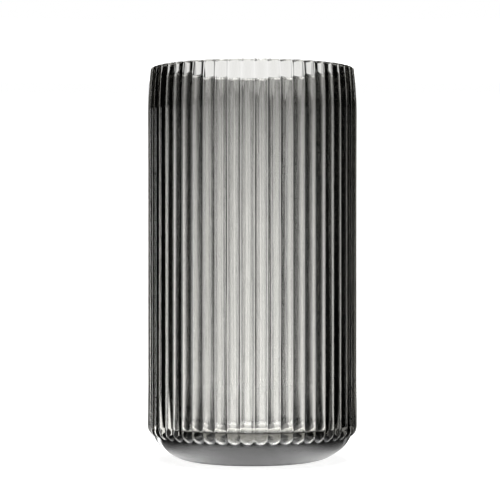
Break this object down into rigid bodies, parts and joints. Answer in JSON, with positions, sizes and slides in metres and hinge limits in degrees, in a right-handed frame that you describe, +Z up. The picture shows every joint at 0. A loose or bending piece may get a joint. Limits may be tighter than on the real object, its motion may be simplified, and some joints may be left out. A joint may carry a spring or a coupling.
{
  "type": "glass cylinder vase",
  "caption": "Tall smoke-grey glass cylinder vase with upright half-round ribs, an open rim and a smooth rounded base.",
  "frame": {"origin": "centre of the foot, on the surface that the vase stands on", "axes": "+Z up along the axis of the vase, towards its mouth"},
  "size_m": [0.1335, 0.1336, 0.25],
  "materials": {
    "smoke_glass": "clear, glossy, tinted grey through its thickness"
  },
  "bodies": {
    "root": {"ribbed_wall": "smoke_glass", "rounded_base": "smoke_glass"}
  },
  "joints": []
}
